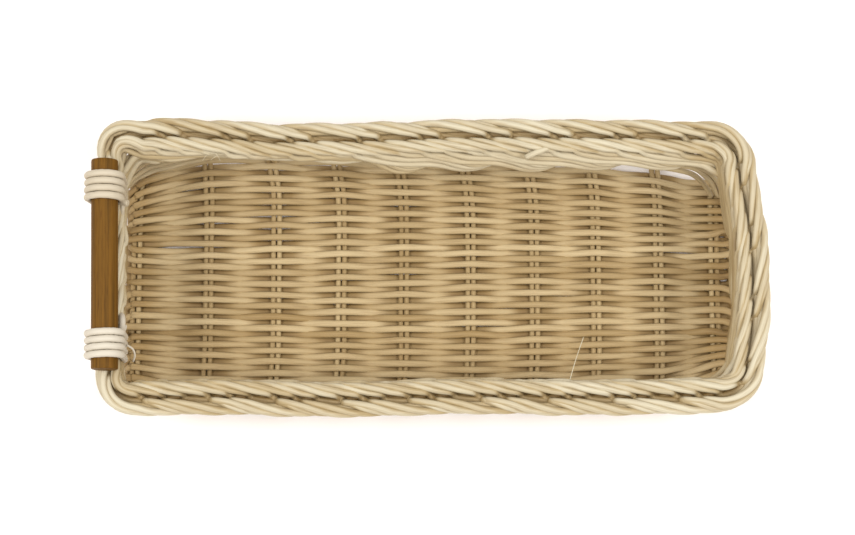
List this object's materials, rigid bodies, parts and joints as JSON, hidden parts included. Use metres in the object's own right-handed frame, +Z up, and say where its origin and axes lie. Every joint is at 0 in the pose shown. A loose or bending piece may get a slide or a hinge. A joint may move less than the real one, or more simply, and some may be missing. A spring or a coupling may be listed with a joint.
{
  "type": "rattan cutlery basket",
  "caption": "Long low rattan basket with a woven base, open stake walls, a plaited two-row border and a wooden bar lashed on one end.",
  "frame": {"origin": "middle of the footprint, on the surface that the basket stands on", "axes": "+X along the basket away from the end with the bar, +Y across it, +Z up"},
  "size_m": [0.3404, 0.1476, 0.0763],
  "materials": {
    "stake_rattan": "peeled round rattan, matt, straw brown",
    "base_rattan": "round rattan core, woven, matt, straw yellow with darker strands",
    "border_rattan": "round rattan core, plaited, satin, pale cream",
    "handle_wood": "brown stained dowel, lengthwise grain, satin",
    "bleached_rattan": "bleached round rattan, satin, off-white"
  },
  "bodies": {
    "root": {"cross_stake_01a": "stake_rattan", "cross_stake_01b": "stake_rattan", "cross_stake_02a": "stake_rattan", "cross_stake_02b": "stake_rattan", "cross_stake_03a": "stake_rattan", "cross_stake_03b": "stake_rattan", "cross_stake_04a": "stake_rattan", "cross_stake_04b": "stake_rattan", "cross_stake_05a": "stake_rattan", "cross_stake_05b": "stake_rattan", "cross_stake_06a": "stake_rattan", "cross_stake_06b": "stake_rattan", "cross_stake_07a": "stake_rattan", "cross_stake_07b": "stake_rattan", "cross_stake_08a": "stake_rattan", "cross_stake_08b": "stake_rattan", "cross_stake_09a": "stake_rattan", "cross_stake_09b": "stake_rattan", "cross_stake_10a": "stake_rattan", "cross_stake_10b": "stake_rattan", "long_end_stake_near": "stake_rattan", "long_end_stake_middle": "stake_rattan", "long_end_stake_far": "stake_rattan", "base_weaver_1": "base_rattan", "base_weaver_2": "base_rattan", "base_weaver_3": "base_rattan", "base_weaver_4": "base_rattan", "border_group_01": "border_rattan", "border_group_02": "border_rattan", "border_group_03": "border_rattan", "border_group_04": "border_rattan", "border_group_05": "border_rattan", "border_group_06": "border_rattan", "border_group_07": "border_rattan", "border_group_08": "border_rattan", "border_group_09": "border_rattan", "border_group_10": "border_rattan", "border_group_11": "border_rattan", "border_group_12": "border_rattan", "border_group_13": "border_rattan", "border_group_14": "border_rattan", "border_group_15": "border_rattan", "border_group_16": "border_rattan", "border_group_17": "border_rattan", "border_group_18": "border_rattan", "border_group_19": "border_rattan", "border_group_20": "border_rattan", "border_group_21": "border_rattan", "border_group_22": "border_rattan", "border_group_23": "border_rattan", "border_group_24": "border_rattan", "border_group_25": "border_rattan", "border_group_26": "border_rattan", "handle_bar": "handle_wood", "lashing_near": "bleached_rattan", "lashing_far": "bleached_rattan"}
  },
  "joints": []
}
